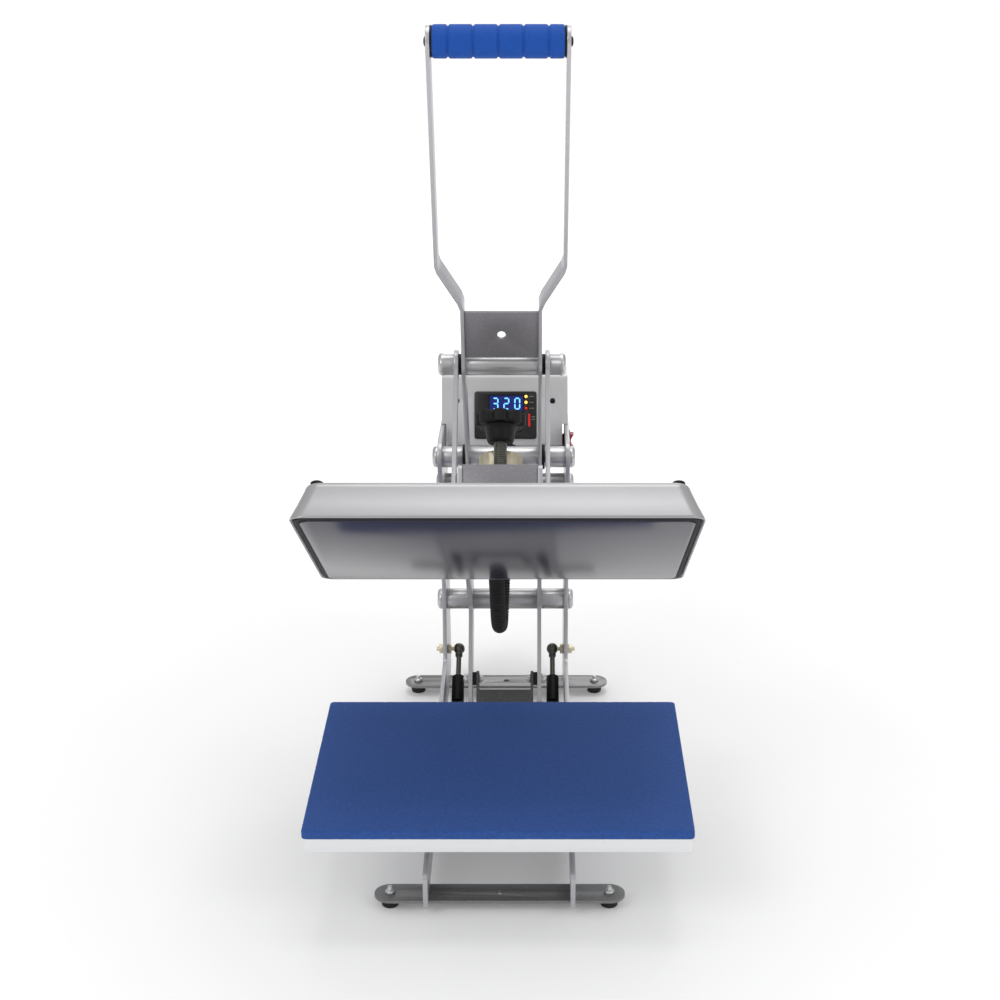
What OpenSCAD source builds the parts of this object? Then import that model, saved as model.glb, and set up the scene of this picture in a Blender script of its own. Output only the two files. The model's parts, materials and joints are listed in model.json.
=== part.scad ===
// Clamshell heat press, shown open. X is across, -Y is the front, +Z is up.
// The origin is on the table, in the middle of the footprint.

/* [Platens] */
// Width of the lower pad
pad_w = 381; // [370:1:390]
// Depth of the lower pad
pad_d = 279.4; // [270:0.1:285]
// Thickness of the silicone pad
pad_t = 9; // [6:0.5:12]
// Height of the pad's top face above the table
pad_z = 119; // [117:0.5:121]
// Width of the heated plate
heat_w = 378; // [370:1:384]
// Depth of the heated plate
heat_d = 277.4; // [270:0.1:280]

/* [Motion] */
// How far the press stands open
open_angle = 34; // [30:1:36]

/* [Frame] */
// Outer width over the two base side plates
frame_w = 152.4; // [150:0.1:156]
// Thickness of the steel plates
plate_t = 4.75; // [4:0.05:5]
// Length of a foot bar
bar_l = 254; // [240:1:270]
// Width of a foot bar
bar_w = 31.8; // [28:0.1:34]
// Radius of the pivot shafts
shaft_r = 6.35; // [6:0.05:6.5]
// Radius of the tubes round the shafts
tube_r = 12.4; // [11:0.1:12.6]

/* [Handle] */
// Width over the handle bars at the grip
grip_w = 142.2; // [136:0.1:146]
// Diameter of the foam grip
grip_dia = 33; // [28:1:36]

/* [Hidden] */
$fn = 48;
fit = 0.05;                       // running clearance on a radius
gap = 0.3;                        // clearance between moving faces

front_y = -302;                   // front edge of the pad
hinge = [211.2, 142.1];           // main hinge of the upper arm, y and z
crank = [162, 342];               // pivot of the handle
knee = [77, 477.5];               // handle to link joint
link_end = [-124.5, 180];         // link to arm joint with the press closed
tie = [233, 284];                 // rear tie rod
ball_top = [213, 74];             // strut ball on the base
ball_low = [143, 31];             // strut ball on the arm's tail
screw_y = -160;                   // adjusting screw, press closed
bush_y = -131;                    // guide bush behind the screw, press closed

foot_h = 10.8;
bar_t = 3.2;
bar_y = [-243, 247];
foot_x = bar_l / 2 - bar_w / 2;
frame_x = frame_w / 2;            // outer face of a side plate
side_x = frame_x - plate_t;       // its inner face
arm_x = 43.65;                    // outer face of an arm plate
arm_in = arm_x - plate_t;
bar_th = 4;                       // thickness of a handle bar
link_in = 47.25;                  // inner face of a link plate
strut_x = 57.5;
cover_w = 396.5;
cover_d = heat_d + 19;
cover_y = front_y + 140;          // middle of the upper platen, closed
heat_z = pad_z + 0.5;
heat_t = 18;
cover_top = 160;
handle_lean = 14.28;
neck_s = 77;
bend_s = 123;
grip_s = 364.8;
box_back = 302;
face_low = [225, 335];
face_high = [252, 413];
face_tilt = atan2(face_high[1] - face_low[1], face_high[0] - face_low[0]);
cord_x = -8;
cord_r = 9;
cord_shift = 12;                  // how far right of the platen's end the controller's end is
cord_points = [[31.6, 260.7], [45, 251], [54, 242], [62, 224], [66, 198], [72, 176], [84, 163],
    [100, 163], [112, 180], [118, 207], [125, 229], [136, 251], [151, 270], [168, 286],
    [186, 299], [204, 310], [219, 319], [236, 329]];

steel = [0.68, 0.69, 0.71];
dark_steel = [0.35, 0.35, 0.37];
black = [0.06, 0.06, 0.065];
blue = [0.08, 0.25, 0.6];

function arc(c, r, a0, a1, n = 8) =
    [for (i = [0:n]) let (a = a0 + (a1 - a0) * i / n) c + r * [cos(a), sin(a)]];
function turn(v, a) = [v[0] * cos(a) - v[1] * sin(a), v[0] * sin(a) + v[1] * cos(a)];

// Both sides: the right one as drawn, and its mirror image.
module both() { children(); mirror([1, 0, 0]) children(); }
// A y-z outline given thickness from x0 to x1.
module across(x0, x1) translate([x0, 0, 0]) rotate([90, 0, 90]) linear_extrude(x1 - x0) children();
module rod_x(x0, x1, p, r) translate([x0, p[0], p[1]]) rotate([0, 90, 0]) cylinder(r = r, h = x1 - x0);
module tube_x(x0, x1, p, ro, ri) across(x0, x1) translate(p) difference() { circle(ro); circle(ri); }
module rounded(w, d, r) {
    square([w - 2 * r, d], center = true);
    square([w, d - 2 * r], center = true);
    for (x = [-1, 1], y = [-1, 1]) translate([x * (w / 2 - r), y * (d / 2 - r)]) circle(r);
}
// What is drawn for the closed press, swung open about the main hinge.
module opened() translate([0, hinge[0], hinge[1]]) rotate([-open_angle, 0, 0])
    translate([0, -hinge[0], -hinge[1]]) children();
// Along the handle: z runs from the knee to the grip, y is the bars' width.
module handle_frame() translate([0, knee[0], knee[1]]) rotate([handle_lean, 0, 0]) children();
// On the sloping face of the controller: y runs up the face, z out of it.
module on_face() translate([0, face_low[0], face_low[1]]) rotate([face_tilt, 0, 0]) children();
// Along the strut: z runs from its upper ball to its lower ball.
strut_v = ball_low - ball_top;
strut_l = norm(strut_v);
module strut_frame() translate([strut_x, ball_top[0], ball_top[1]])
    rotate([atan2(-strut_v[0], strut_v[1]), 0, 0]) children();

// ---------------------------------------------------------------- base
side_outline = concat(
    [[-268, foot_h], [bar_y[0] - bar_w / 2 - 0.1, foot_h], [bar_y[0] - bar_w / 2 - 0.1, foot_h + bar_t],
     [bar_y[0] + bar_w / 2 + 0.1, foot_h + bar_t], [bar_y[0] + bar_w / 2 + 0.1, foot_h + 1.2],
     [bar_y[1] - bar_w / 2 - 0.1, foot_h + 1.2], [bar_y[1] - bar_w / 2 - 0.1, foot_h + bar_t],
     [bar_y[1] + bar_w / 2 + 0.1, foot_h + bar_t], [bar_y[1] + bar_w / 2 + 0.1, foot_h + 1.2]],
    arc([286, foot_h + 9.2], 8, -90, 0), arc([286, 347.5], 8, 0, 90),
    arc(crank, 20, 90, 197), [[196, 150]], arc([176, 84], 14, 0, -80),
    [[90, 66], [-231, 52.5]], arc([-261, 42], 7, 95, 180));

module side_plate() color(steel) difference() {
    across(side_x, frame_x) polygon(side_outline);
    for (p = [hinge, crank]) rod_x(side_x - 1, frame_x + 1, p, shaft_r + fit);
    rod_x(side_x - 1, frame_x + 1, tie, 4 + fit);
    rod_x(side_x - 1, frame_x + 1, ball_top, 3 + fit);
    for (y = support_y, dy = [-9, 9]) rod_x(side_x - 1, frame_x + 1, [y + dy, support_bolt_z], 3 + fit);
}
support_y = [-172, -80];
support_bolt_z = 42;
switch_p = [250, 333];
module side_plate_right() difference() {
    side_plate();
    across(side_x - 1, frame_x + 1) translate(switch_p) square([13.4, 19.4], center = true);
}
module side_plate_left() mirror([1, 0, 0]) side_plate();

module foot_bars() color(dark_steel) for (y = bar_y) translate([0, y, foot_h]) difference() {
    linear_extrude(bar_t) {
        square([bar_l - bar_w, bar_w], center = true);
        for (s = [-1, 1]) translate([s * foot_x, 0]) circle(bar_w / 2);
    }
    for (x = [-foot_x, 0, foot_x]) translate([x, 0, -1]) cylinder(r = 3.25, h = bar_t + 2);
}
module rubber_feet() color(black) for (y = bar_y, x = [-foot_x, foot_x]) translate([x, y, 0])
    rotate_extrude() polygon([[3.2, 5], [3.2, foot_h], [9.2, foot_h], [9.6, 9], [8.6, 0.8],
        [7.8, 0], [4.6, 0], [4.6, 5]]);
module pan_screw(r, head_r, head_h, l) rotate_extrude()
    polygon(concat([[0, -l], [r, -l], [r, 0], [head_r, 0]],
        [for (i = [0:6]) [head_r * cos(i * 13), head_h * (0.35 + 0.65 * sin(i * 13) / sin(78))]],
        [[0, head_h]]));
module base_screws() color(steel) {
    for (y = bar_y, x = [-foot_x, foot_x]) translate([x, y, foot_h + bar_t]) pan_screw(3, 5.2, 4, 8.5);
    both() for (y = support_y, dy = [-9, 9]) translate([frame_x, y + dy, support_bolt_z])
        rotate([0, 90, 0]) pan_screw(3, 5.5, 3.4, 12);
    for (y = support_y, x = [-40, 40]) translate([x, y, tray_z - 4]) rotate([180, 0, 0])
        pan_screw(3, 5.5, 3.4, 9);
}
tray_t = 14.5;
tray_z = pad_z - pad_t - tray_t;
module platen_supports() color(dark_steel) for (y = support_y) difference() {
    union() {
        translate([-side_x, y - 17, tray_z - 4]) cube([2 * side_x, 34, 4]);
        both() translate([side_x - 4, y - 17, 28]) cube([4, 34, tray_z - 28]);
    }
    for (x = [-40, 40]) translate([x, y, tray_z - 5]) cylinder(r = 3.1, h = 6);
    for (dy = [-9, 9]) rod_x(-side_x - 1, side_x + 1, [y + dy, support_bolt_z], 3 + fit);
}
module platen_tray() color([0.82, 0.83, 0.85]) difference() {
    translate([0, front_y + pad_d / 2, tray_z]) linear_extrude(tray_t) rounded(pad_w - 2.4, pad_d - 2.4, 5);
    for (y = support_y, x = [-40, 40]) translate([x, y, tray_z - 1]) cylinder(r = 3 + fit, h = 7);
}
module silicone_pad() color(blue) translate([0, front_y + pad_d / 2, tray_z + tray_t])
    linear_extrude(pad_t) rounded(pad_w, pad_d, 4);

// A shaft across the frame with a domed cap screw in each end.
module cap_profile(r, h) polygon(concat([[0, 0], [r, 0], [r, h * 0.3]],
    [for (i = [0:8]) [r * 0.62 + r * 0.38 * cos(i * 11.25), h * 0.3 + h * 0.7 * sin(i * 11.25)]], [[0, h]]));
module capped_shaft(p, x_end, x_cap) {
    difference() {
        rod_x(-x_end, x_end, p, shaft_r);
        both() rod_x(x_end - 16, x_end + 1, p, 3.6);
    }
    both() translate([x_cap, p[0], p[1]]) rotate([0, 90, 0]) {
        rotate_extrude() difference() { cap_profile(tube_r, 6.4); translate([-1, 4.2]) square([4.4, 4]); }
        translate([0, 0, x_end - 14 - x_cap]) cylinder(r = 3.55, h = 14 + x_cap - x_end);
    }
}
module hinge_shaft() color(steel) capped_shaft(hinge, frame_x, frame_x);
module pivot_shaft() color(steel) capped_shaft(crank, frame_x, frame_x);
module tie_rod() color(steel) {
    difference() {
        rod_x(-side_x, side_x, tie, tube_r);
        both() rod_x(side_x - 18, side_x + 1, tie, 4.1);
    }
    both() translate([frame_x, tie[0], tie[1]]) rotate([0, 90, 0]) {
        rotate_extrude() difference() { cap_profile(tube_r, 6.4); translate([-1, 4.2]) square([4.4, 4]); }
        translate([0, 0, -20]) cylinder(r = 4, h = 20);
    }
}
module spacer_tubes() color(steel) both() {
    tube_x(arm_x + gap, side_x, hinge, tube_r, shaft_r + fit);
    tube_x(link_in + gap, side_x, crank, tube_r, shaft_r + fit);
}

// Controller housing. Its lower part is narrower and sits between the side plates.
box_w = 150;
well_w = 137;
wall = 1.6;
box_rear = box_back - 4.5;
lip_y = face_low[0] + (359 - face_low[1]) / tan(face_tilt) + 0.01;    // where the face meets the lip
box_outline = concat([[lip_y, 359]], [face_high + [-2, -5.8]], arc(face_high + [4, -3.9], 6, 160, 90, 5),
    arc([box_rear - 14, face_high[1] - 11.9], 14, 90, 0, 6), [[box_rear, 359]]);
well_outline = [face_low, [243, 316], [box_rear, 316], [box_rear, 359], [lip_y, 359]];
box_inner = [[237, 357], [254, 407.5], [box_rear - 12, 409], [box_rear + 1, 398], [box_rear + 1, 357]];
well_inner = [face_low + [3.5, 0.2], [244.5, 318], [box_rear + 1, 318], [box_rear + 1, 361], [237, 361]];
module box_shell() color([0.78, 0.79, 0.81]) difference() {
    union() {
        across(-box_w / 2, box_w / 2) polygon(box_outline);
        across(-well_w / 2, well_w / 2) polygon(well_outline);
    }
    across(-box_w / 2 + wall, box_w / 2 - wall) polygon([for (p = box_inner) [p[0], max(p[1], 360.6)]]);
    across(-well_w / 2 + wall, well_w / 2 - wall) polygon(well_inner);
    on_face() translate([1, 35.75, -5]) linear_extrude(6) square([64, 50], center = true);
    on_face() for (x = [-57, 57]) translate([x, 52.9, -5]) cylinder(r = 2, h = 6);
    across(well_w / 2 - 4, well_w / 2 + 1) translate(switch_p) square([13.4, 19.4], center = true);
    translate([cord_x + cord_shift, 225, 322.5]) rotate([-59.7, 0, 0]) cylinder(r = cord_r + 0.5, h = 20);
}
cover_screw_x = [-60, 60];
cover_screw_z = [323, 392];
module box_back_cover() color([0.78, 0.79, 0.81]) difference() {
    union() {
        translate([-box_w / 2, box_rear, 359]) cube([box_w, 2, 40]);
        translate([-well_w / 2, box_rear, 316]) cube([well_w, 2, 43]);
    }
    translate([-45, box_rear - 1, 333]) cube([28.4, 4, 20.4]);
    for (x = cover_screw_x, z = cover_screw_z) translate([x, box_rear - 1, z]) rotate([-90, 0, 0])
        cylinder(r = 1.7, h = 4);
}
module box_screws() color(black) {
    on_face() for (x = [-57, 57]) translate([x, 52.9, 0]) pan_screw(1.9, 3.2, 1.6, 7);
    for (x = cover_screw_x, z = cover_screw_z) translate([x, box_rear + 2, z]) rotate([-90, 0, 0])
        pan_screw(1.6, 3, 1.6, 6);
}
panel_c = [1, 35.75];
key_x = [-15, 1, 17];
key_y = 20;
module display_panel() color(black) on_face() difference() {
    translate([panel_c[0], panel_c[1], 0]) linear_extrude(1.6) rounded(74, 56.5, 3);
    translate([2, 49.5, 0.8]) linear_extrude(2) square([40, 19], center = true);
    for (x = key_x) translate([x, key_y, -1]) cylinder(r = 4.3, h = 4);
    for (y = led_y) translate([25.4, y, -1]) cylinder(r = 1.75, h = 4);
}
led_y = [58.1, 51, 44.2];
module display_window() color([0.03, 0.06, 0.35]) on_face() translate([2, 49.5, 0.8])
    linear_extrude(0.6) square([39.6, 18.6], center = true);
// Seven-segment digits, each a list of lit segments in the order
// top, upper right, lower right, bottom, lower left, upper left, middle.
digit_h = 14.2;
digit_w = 7.2;
module segment(l) polygon([[-l / 2, 0], [-l / 2 + 0.8, 0.8], [l / 2 - 0.8, 0.8], [l / 2, 0],
    [l / 2 - 0.8, -0.8], [-l / 2 + 0.8, -0.8]]);
module digit(on) {
    h = digit_h / 2 - 0.8;
    at = [[0, h, 0], [digit_w / 2 - 0.8, h / 2, 90], [digit_w / 2 - 0.8, -h / 2, 90], [0, -h, 0],
        [0.8 - digit_w / 2, -h / 2, 90], [0.8 - digit_w / 2, h / 2, 90], [0, 0, 0]];
    for (i = on) translate([at[i][0], at[i][1]]) rotate(at[i][2])
        segment(i % 3 == 0 ? digit_w - 2.2 : h - 0.6);
}
module display_digits() color([0.55, 0.8, 1]) on_face() translate([0, 49.5, 1.4]) linear_extrude(0.4) {
    translate([-11, 0]) digit([0, 1, 2, 3, 6]);
    translate([2, 0]) digit([0, 1, 3, 4, 6]);
    translate([15, 0]) digit([0, 1, 2, 3, 4, 5]);
}
module status_leds() color([1, 0.7, 0.1]) on_face() for (y = led_y) translate([25.4, y, -0.5]) {
    cylinder(r = 1.7, h = 2.2);
    translate([0, 0, 2.2]) intersection() { sphere(1.7); cylinder(r = 2, h = 2); }
}
module power_inlet() color(black) translate([-44.8, box_rear, 333.2]) difference() {
    union() { translate([0, -18, 0]) cube([28, 19.9, 20]); translate([-3, 2, -3]) cube([34, 2.5, 26]); }
    translate([4, -12, 3.5]) cube([20, 20, 13]);
}
module control_board() color([0.05, 0.3, 0.12]) {
    translate([-55, 262, 364]) cube([110, 22, 1.6]);
    translate([-46, 266, 365.6]) cube([20, 16, 16]);
    translate([6, 264, 365.6]) cube([30, 18, 24]);
}
module strut_studs_upper() color([0.8, 0.7, 0.45]) both() {
    translate([strut_x, ball_top[0], ball_top[1]]) rotate([0, 90, 0]) rotate_extrude()
        polygon(concat([for (i = [0:10]) 4.5 * [cos(i * 14.5 - 90), sin(i * 14.5 - 90)]],
            [[2.6, side_x - strut_x - 4.5], [6, side_x - strut_x - 4.5], [6, side_x - strut_x],
             [2.6, side_x - strut_x], [2.6, frame_x - strut_x + 9], [0, frame_x - strut_x + 9]]));
    translate([frame_x, ball_top[0], ball_top[1]]) rotate([0, 90, 0]) difference() {
        cylinder(r = 6.2, h = 5.5, $fn = 6);
        translate([0, 0, -1]) cylinder(r = 2.65, h = 8);
    }
}

// ---------------------------------------------------------------- arm
tail = hinge + turn(ball_low - hinge, open_angle);     // lower strut ball, closed
tail_bolt = [199, 42];
arm_outline = concat(
    arc(hinge, 25, -10, 98, 10), [[150, 186], [60, 214]], arc([-172, 203], 6, 90, 180, 5),
    [[-178, 166], [-2, 166], [12, 150], [110, 134]], [[182, 128], [188, 112], [188, 14]],
    arc(tail + [-14, 4], 14, 180, 232, 4), arc(tail, 8.6, 270, 360, 6), [[232, 70]]);
module arm_plate() color(steel) opened() difference() {
    across(arm_in, arm_x) polygon(arm_outline);
    rod_x(arm_in - 1, arm_x + 1, hinge, shaft_r + fit);
    rod_x(arm_in - 1, arm_x + 1, tail, 3 + fit);
    rod_x(arm_in - 1, arm_x + 1, tail_bolt, 3 + fit);
}
module arm_plate_right() arm_plate();
module arm_plate_left() mirror([1, 0, 0]) arm_plate();
module arm_tube() color(steel) opened() tube_x(-arm_in, arm_in, hinge, tube_r, shaft_r + fit);
module arm_channel() color(steel) opened() difference() {
    union() {
        translate([-arm_in, -176, 204]) cube([2 * arm_in, 74, 5]);
        translate([-arm_in, -176, 168]) cube([2 * arm_in, 4.75, 36]);
        translate([-arm_in, -106.75, 168]) cube([2 * arm_in, 4.75, 36]);
    }
    translate([0, screw_y, 200]) cylinder(r = 7.35, h = 12);
    translate([0, bush_y, 200]) cylinder(r = 10.3, h = 12);
}
module guide_bush() color([0.82, 0.76, 0.55]) opened() translate([0, bush_y, 209]) difference() {
    intersection() {
        cylinder(r = 22.7, h = 22, $fn = 6);
        rotate_extrude() polygon([[0, 0], [22.8, 0], [22.8, 19.4], [19.4, 22], [0, 22]]);
    }
    translate([0, 0, -1]) cylinder(r = 10 + fit, h = 24);
}
module link_bosses() color(steel) opened() both() tube_x(arm_x, link_in - gap, link_end, 13, 4);
module tail_bracket() color(dark_steel) opened() difference() {
    union() {
        translate([-34, 189.5, 8]) cube([68, 3.2, 19.5]);
        both() translate([30.8, 189.5, 8]) cube([3.2, 22, 42]);
    }
    rod_x(-35, 35, tail_bolt, 3.1);
}
module tail_spacers() color(black) opened() both() difference() {
    translate([34, tail_bolt[0] - 7, tail_bolt[1] - 7]) cube([arm_in - 34, 14, 14]);
    rod_x(33, 40, tail_bolt, 3.1);
}
module tail_bolts() color(steel) opened() both() {
    rod_x(25.6, arm_x + 6, tail_bolt, 2.95);
    translate([arm_x, tail_bolt[0], tail_bolt[1]]) rotate([0, 90, 0]) cylinder(r = 5.8, h = 4.6, $fn = 6);
    translate([26.4, tail_bolt[0], tail_bolt[1]]) rotate([0, 90, 0]) cylinder(r = 5.2, h = 4.4);
}
module strut_studs_lower() color([0.8, 0.7, 0.45]) opened() both() {
    rod_x(arm_in - 4, strut_x - 8, tail, 2.9);
    rod_x(arm_in - 4.2, arm_in, tail, 5.4);
    rod_x(arm_x, arm_x + 3.2, tail, 5.4);
}

// ---------------------------------------------------------------- upper platen
screw_at = [for (x = [-174.3, 174.3], y = [-282, -42]) [x, y]];
post_at = [for (x = [-95, 95], y = [-225, -95]) [x, y]];
module heat_plate() color([0.62, 0.62, 0.66]) opened() difference() {
    translate([0, cover_y, heat_z]) linear_extrude(heat_t) rounded(heat_w, heat_d, 12);
    for (p = post_at) translate([p[0], p[1], heat_z + 8]) cylinder(r = 4, h = heat_t);
}
module rim_seal() color(black) opened() translate([0, cover_y, heat_z + 1.5]) linear_extrude(4) difference() {
    rounded(cover_w - 8.2, cover_d - 8.2, 13);
    rounded(heat_w + 0.6, heat_d + 0.6, 12.3);
}
module insulation_blanket() color([0.85, 0.8, 0.6]) opened() difference() {
    translate([0, cover_y, heat_z + heat_t]) linear_extrude(8) rounded(340, 240, 10);
    for (p = post_at) translate([p[0], p[1], heat_z]) cylinder(r = 9, h = 40);
}
module pressure_plate() color(dark_steel) opened() difference() {
    union() {
        translate([0, cover_y, 149]) linear_extrude(5) rounded(230, 170, 8);
        for (p = post_at) translate([p[0], p[1], heat_z + heat_t]) cylinder(r = 8, h = 149 - heat_z - heat_t);
        for (p = post_at) translate([p[0], p[1], heat_z + 10]) cylinder(r = 3.95, h = heat_t - 9);
        translate([0, screw_y, 154]) cylinder(r = 13, h = 8);
    }
    translate([0, screw_y, 152]) cylinder(r = 7 + fit, h = 20);
    translate([0, bush_y, 148]) cylinder(r = 5.1, h = 8);
}
// A flat slice of the cover, narrower than its foot by less, with corner radius r.
module cover_slice(z, t, less, r) translate([0, cover_y, z]) linear_extrude(t)
    rounded_fine(cover_w - less, cover_d - less, r);
module cover_form(in, top) hull() {
    cover_slice(heat_z + 1.5 - in, 0.6, 2 * in, 15 - in);
    cover_slice(top - 7, 0.5, 25 + 2 * in, 14 - in);
    cover_slice(top - 2.4, 0.5, 29.5 + 2 * in, 12.5 - in);
    cover_slice(top - 0.4, 0.4, 37 + 2 * in, 9.5 - in);
}
module rounded_fine(w, d, r) {
    for (x = [-1, 1], y = [-1, 1]) translate([x * (w / 2 - r), y * (d / 2 - r)]) circle(r, $fn = 32);
}
module cover_shell() color([0.8, 0.81, 0.83]) opened() difference() {
    cover_form(0, cover_top);
    cover_form(1.6, cover_top - 1.6);
    translate([0, screw_y, 150]) cylinder(r = 14, h = 20);
    translate([0, bush_y, 150]) cylinder(r = 12, h = 20);
    for (p = screw_at) translate([p[0], p[1], 150]) cylinder(r = 2.1, h = 20);
    translate([cord_x, -40, 140]) rotate([-90, 0, 0]) cylinder(r = 9.2, h = 40);
}
module cover_screws() color(black) opened() for (p = screw_at) translate([p[0], p[1], cover_top])
    pan_screw(2, 6.4, 4.6, 9);
module guide_stud() color(steel) opened() translate([0, bush_y, 149]) {
    cylinder(r = 5, h = 5);
    translate([0, 0, 5]) cylinder(r = 10, h = 74);
}
module cable_gland() color(black) opened() translate([cord_x, 0, 140]) difference() {
    union() {
        translate([0, -22.8, 0]) rotate([-90, 0, 0]) cylinder(r = 9, h = 12);
        translate([0, -12, 0]) rotate([-90, 0, 0]) cylinder(r = 12.5, h = 9);
    }
    translate([0, -33, 0]) rotate([-90, 0, 0]) cylinder(r = 5, h = 31);
    translate([0, -6.5, 0]) rotate([-90, 0, 0]) cylinder(r = cord_r + 0.6, h = 5);
}

// ---------------------------------------------------------------- knob
module adjusting_knob() color(black) opened() translate([0, screw_y, 236]) difference() {
    union() {
        translate([0, 0, 17.5]) linear_extrude(13) {
            circle(22);
            for (i = [0:7]) rotate(i * 45 + 22.5) translate([21, 0]) circle(6.6);
        }
        rotate_extrude() polygon([[0, 0], [13, 0], [14.2, 2], [15.6, 12], [17, 18.5], [17, 30],
            [14, 32.5], [0, 32.5]]);
    }
    translate([0, 0, -1]) cylinder(r = 7 + fit, h = 15);
}
module adjusting_screw() color([0.6, 0.6, 0.58]) opened() translate([0, screw_y, 153])
    cylinder(r = 7, h = 96);

// ---------------------------------------------------------------- handle
crank_v = turn(crank - knee, -handle_lean);            // crank pivot, in the handle's frame
// Outer edge of a bar from the grip down, and how much lower its inner edge lies at each point.
bar_line = [[grip_w / 2, grip_s + 20], [grip_w / 2, grip_s - 24], [grip_w / 2 - 1.3, bend_s + 3],
    [grip_w / 2 - 3.6, bend_s - 5], [arm_x + 3, neck_s + 5], [arm_x, neck_s - 3], [arm_x, -175]];
bar_drop = [0, 0, -0.6, -1.2, -1.2, -0.6, 0];
module handle_bar() color(steel) handle_frame() difference() {
    intersection() {
        rotate([90, 0, 0]) translate([0, 0, -80]) linear_extrude(120) polygon(concat(bar_line,
            [for (i = [len(bar_line) - 1:-1:0]) bar_line[i] - [bar_th, bar_drop[i]]]));
        across(arm_x - bar_th - 1, grip_w / 2 + 1) {
            circle(17);
            translate(crank_v) circle(17);
            rotate(atan2(crank_v[1], crank_v[0])) translate([0, -16.8]) square([norm(crank_v), 33.6]);
            translate([-15, 0]) square([30, grip_s]);
            translate([0, grip_s]) circle(15.5);
        }
    }
    rod_x(arm_in - 5, arm_x + 1, [0, 0], shaft_r + fit);
    rod_x(arm_in - 5, arm_x + 1, crank_v, shaft_r + fit);
    rod_x(grip_w / 2 - bar_th - 1, grip_w / 2 + 1, [0, grip_s], 3.1);
}
module handle_bar_right() handle_bar();
module handle_bar_left() mirror([1, 0, 0]) handle_bar();
bar_in = arm_x - bar_th;
module handle_cross_plate() color(steel) handle_frame() difference() {
    translate([-bar_in, -12, 15]) cube([2 * bar_in, 4, 56]);
    translate([0, -13, 43]) rotate([-90, 0, 0]) cylinder(r = 4.5, h = 6);
}
module knee_tube() color(steel) tube_x(-bar_in, bar_in, knee, 12, shaft_r + fit);
module crank_tube() color(steel) tube_x(-bar_in, bar_in, crank, tube_r, shaft_r + fit);
module handle_washers() color(black) {
    both() tube_x(arm_x, link_in - gap / 3, knee, 11.5, shaft_r + fit);
    both() tube_x(arm_x, link_in, crank, 14.5, shaft_r + fit);
    handle_frame() both() tube_x(grip_w / 2 - bar_th - 1.8, grip_w / 2 - bar_th, [0, grip_s], 15.6, 3.2);
}
grip_in = grip_w / 2 - bar_th;
module grip_tube() color(steel) handle_frame()
    tube_x(1.8 - grip_in, grip_in - 1.8, [0, grip_s], 9.5, 3.1);
module foam_grip() color(blue) handle_frame()
    tube_x(2 - grip_in, grip_in - 2, [0, grip_s], grip_dia / 2, 9.5);
module grip_screws() color(black) handle_frame() both() translate([grip_w / 2, 0, grip_s])
    rotate([0, 90, 0]) pan_screw(3, 5, 2.4, 22);

// ---------------------------------------------------------------- link
arm_joint = hinge + turn(link_end - hinge, -open_angle);     // its place with the press open
module link_plates() color(steel) both() difference() {
    across(link_in, link_in + plate_t) {
        translate(knee) circle(16);
        translate(arm_joint) circle(10.3);
        translate(knee) rotate(atan2(arm_joint[1] - knee[1], arm_joint[0] - knee[0]))
            translate([0, -10]) square([norm(arm_joint - knee), 20]);
    }
    rod_x(link_in - 1, 60, knee, shaft_r + fit);
}
module knee_shaft() color(steel) {
    capped_shaft(knee, 63.2, 63.2);
    both() tube_x(link_in + plate_t, 63.2, knee, 11.8, shaft_r + fit);
    both() translate([link_in + plate_t, arm_joint[0], arm_joint[1]]) rotate([0, 90, 0])
        rotate_extrude() cap_profile(11, 6);
}

// ---------------------------------------------------------------- struts
rod_end = 48;
module strut_rods() color([0.75, 0.75, 0.77]) both() strut_frame() difference() {
    union() {
        sphere(7);
        cylinder(r = 3, h = rod_end);
        cylinder(r = 4.4, h = 11);
    }
    sphere(4.5 + gap);
    rod_x(0, 12, [0, 0], 3.6);
}
module strut_cylinders() color(black) both() strut_frame() difference() {
    union() {
        translate([0, 0, 42]) cylinder(r = 7.5, h = strut_l - 42 - 5);
        translate([0, 0, strut_l]) rotate([0, 90, 0]) translate([0, 0, -6]) cylinder(r = 6.5, h = 12);
    }
    translate([0, 0, 38]) cylinder(r = 3 + fit, h = 32);
}

// ---------------------------------------------------------------- controls and conduit
module rocker_switch() color([0.75, 0.05, 0.06]) translate([0, switch_p[0] + 6, switch_p[1]])
    rotate([90, 0, 0]) {
        linear_extrude(12) polygon(concat([[66, 5], [66, -5], [frame_x, -9]],
            arc([frame_x + 15, 0], 12, 225, 135, 6), [[frame_x, 9]]));
        translate([side_x + 2.35, 0, -0.4]) cylinder(r = 1.5, h = 12.8);
    }
module key(x) on_face() translate([x, key_y, -3]) {
    cylinder(r = 4, h = 5.6);
    translate([0, 0, -0.8]) cylinder(r = 5, h = 2.2);
}
module key_down() color([0.3, 0.3, 0.32]) key(key_x[0]);
module key_set() color([0.3, 0.3, 0.32]) key(key_x[1]);
module key_up() color([0.3, 0.3, 0.32]) key(key_x[2]);

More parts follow.
